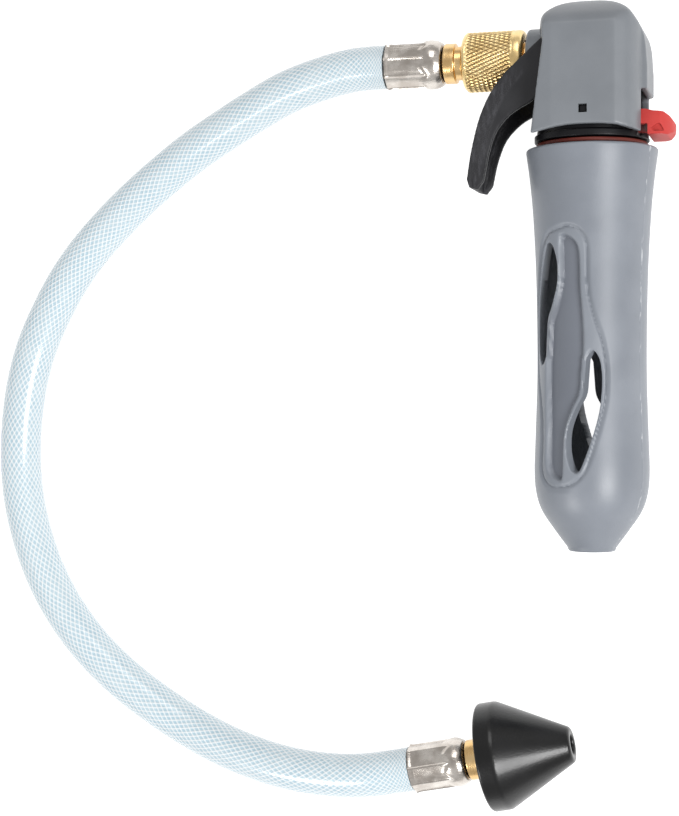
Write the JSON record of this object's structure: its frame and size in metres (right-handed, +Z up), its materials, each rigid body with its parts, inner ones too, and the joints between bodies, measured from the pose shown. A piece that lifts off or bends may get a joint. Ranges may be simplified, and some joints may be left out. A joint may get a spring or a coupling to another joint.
{
  "type": "cartridge drain gun",
  "caption": "Pressure gun with trigger head, hollow screw-off cartridge handle, clear braided hose on a knurled nut, and rubber drain cone.",
  "frame": {"origin": "on the surface that the gun lies on, where the handle's axis crosses the outlet's axis, seen from above", "axes": "+X to the back of the head, -X out of the outlet; +Y up the handle's axis to the head; +Z up from the surface"},
  "size_m": [0.207, 0.2245, 0.036],
  "materials": {
    "light_grey_plastic": "fine satin moulding",
    "grey_plastic": "fine satin moulding",
    "black_plastic": "satin",
    "trigger_plastic": "satin with a fine texture on its outer edge",
    "red_plastic": "glossy",
    "cream_plastic": "smooth",
    "seal_rubber": "matte",
    "black_rubber": "semi-gloss",
    "brass": "bright turned",
    "nickel": "bright crimped plate",
    "steel": "bright",
    "clear_hose": "clear blue tube with white braid in its wall"
  },
  "bodies": {
    "gun": {"head_shroud": "grey_plastic", "valve_body": "black_plastic", "neck_seal": "seal_rubber", "piercing_lance": "steel", "lance_seal": "black_rubber", "valve_seat": "cream_plastic", "valve_cage": "brass", "stem_seal": "black_rubber", "valve_cap": "brass", "valve_spring": "steel", "outlet_boss": "grey_plastic", "outlet_nipple": "brass", "trigger_pin": "steel", "nut_gasket": "black_rubber", "gun_hose_tail": "brass", "gun_ferrule": "nickel", "hose": "clear_hose", "cone_hose_tail": "brass", "cone_ferrule": "nickel", "rubber_cone": "black_rubber"},
    "trigger": {"trigger": "trigger_plastic"},
    "valve_stem": {"valve_stem": "brass"},
    "safety_clip": {"safety_clip": "red_plastic"},
    "handle": {"handle": "light_grey_plastic"},
    "coupling_nut": {"coupling_nut": "brass"}
  },
  "joints": [
    {"name": "trigger_pivot", "type": "hinge", "parent": "gun", "child": "trigger", "pos_m": [0.008, 0.005, 0.018], "axis": [0, 0, 1], "range_deg": [0, 9], "stiffness_Nm_per_rad": 1.2, "springref_deg": -6.88},
    {"name": "stem_slide", "type": "slide", "parent": "gun", "child": "valve_stem", "axis": [0, 1, 0], "range_m": [-0.0013, 0]},
    {"name": "clip_slide", "type": "slide", "parent": "gun", "child": "safety_clip", "axis": [1, 0, 0], "range_m": [-0.003, 0]},
    {"name": "handle_slide", "type": "slide", "parent": "gun", "child": "handle", "axis": [0, -1, 0], "range_m": [0, 0.03]},
    {"name": "nut_spin", "type": "hinge", "parent": "gun", "child": "coupling_nut", "pos_m": [-0.027, 0, 0.018], "axis": [1, 0, 0], "continuous": true}
  ],
  "couplings": [
    {"joint": "stem_slide", "follows": "trigger_pivot", "m_per_rad": -0.008}
  ]
}
